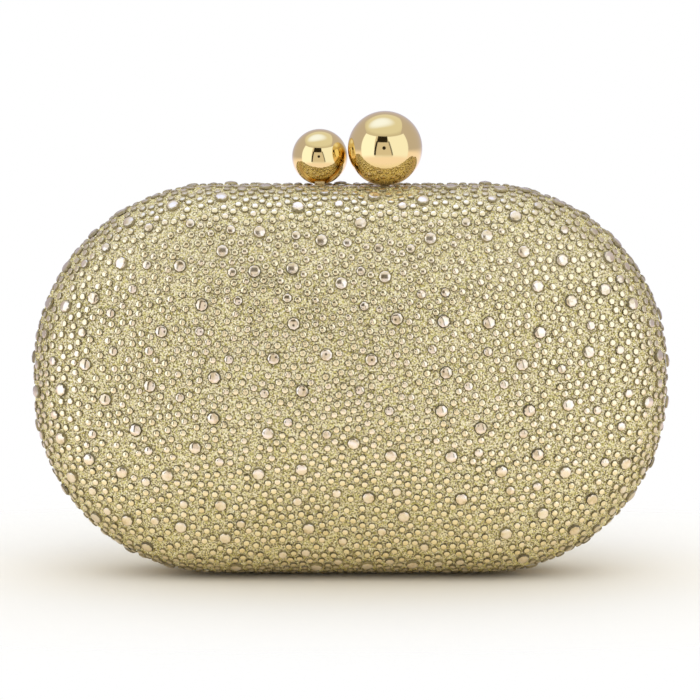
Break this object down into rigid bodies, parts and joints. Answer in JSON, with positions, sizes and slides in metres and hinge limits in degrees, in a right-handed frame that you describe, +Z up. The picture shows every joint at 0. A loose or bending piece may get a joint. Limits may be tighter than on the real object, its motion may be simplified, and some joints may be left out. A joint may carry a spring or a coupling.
{
  "type": "minaudiere",
  "caption": "Rounded oval hard-shell evening bag, covered in scattered flat-backed crystals, hinged below and closed by two gold balls that snap past each other.",
  "frame": {"origin": "centre of the rows of crystals that the bag stands on, below the hinge axis", "axes": "+X along the bag's width, to the right as seen from the front; +Y from the front half to the rear half; +Z up, towards the ball clasp"},
  "size_m": [0.1853, 0.0616, 0.1346],
  "materials": {
    "moulding": "plain moulded shell, hidden under the cloth",
    "glitter_cloth": "pale olive gold glitter cloth that shows between the crystals",
    "suede": "champagne suede film, glued inside the shell",
    "gold": "polished pale gold plating",
    "crystal": "foil-backed cut crystal, pale champagne"
  },
  "bodies": {
    "rear_half": {"rear_shell": "moulding", "rear_cover": "glitter_cloth", "rear_lining": "suede", "rear_frame": "gold", "large_ball": "gold", "large_ball_arm": "gold", "large_arm_rivets": "gold", "left_rear_leaf": "gold", "right_rear_leaf": "gold", "rear_leaf_rivets": "gold", "left_hinge_pin": "gold", "right_hinge_pin": "gold", "rear_large_crystals": "crystal", "rear_medium_crystals": "crystal", "rear_small_crystals": "crystal", "rear_base_crystals": "crystal"},
    "front_half": {"front_shell": "moulding", "front_cover": "glitter_cloth", "front_lining": "suede", "front_frame": "gold", "small_ball": "gold", "small_ball_arm": "gold", "small_arm_rivets": "gold", "left_front_leaf": "gold", "right_front_leaf": "gold", "front_leaf_rivets": "gold", "front_large_crystals": "crystal", "front_medium_crystals": "crystal", "front_small_crystals": "crystal", "front_base_crystals": "crystal"}
  },
  "joints": [
    {"name": "front_swing", "type": "hinge", "parent": "rear_half", "child": "front_half", "pos_m": [0, 0, 0.0019], "axis": [1, 0, 0], "range_deg": [0, 80]}
  ]
}
